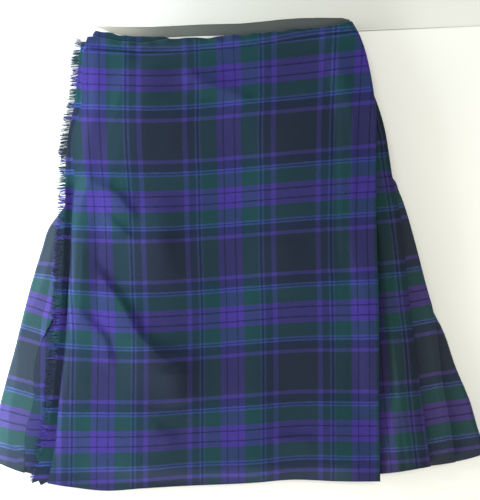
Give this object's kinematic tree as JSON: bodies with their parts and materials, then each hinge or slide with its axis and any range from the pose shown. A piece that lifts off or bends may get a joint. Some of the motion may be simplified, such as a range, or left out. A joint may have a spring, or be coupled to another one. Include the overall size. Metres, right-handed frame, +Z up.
{
  "type": "scottish kilt laid flat",
  "caption": "Knee-length wrap kilt in blue, green and purple tartan, closed and laid flat with its fringed apron up and its pleats fanned at the sides.",
  "frame": {"origin": "the middle of the laid-out kilt, on the surface that it lies on", "axes": "+Y from the hem to the waist, +X towards the pleated side that shows beside the over apron's turned-under edge, +Z up from the surface, out of the over apron"},
  "size_m": [0.6913, 0.6386, 0.0162],
  "materials": {
    "tartan_cloth": "fine twill-woven tartan in navy, green and purple, with a dull sheen",
    "fringe_thread": "matt loose threads in the colours of the tartan's bands"
  },
  "bodies": {
    "root": {"over_apron": "tartan_cloth", "under_apron": "tartan_cloth", "side_pleat_1": "tartan_cloth", "side_pleat_2": "tartan_cloth", "side_pleat_3": "tartan_cloth", "left_pleat": "tartan_cloth", "pleated_back": "tartan_cloth", "waistband": "tartan_cloth", "apron_fringe": "fringe_thread"}
  },
  "joints": []
}
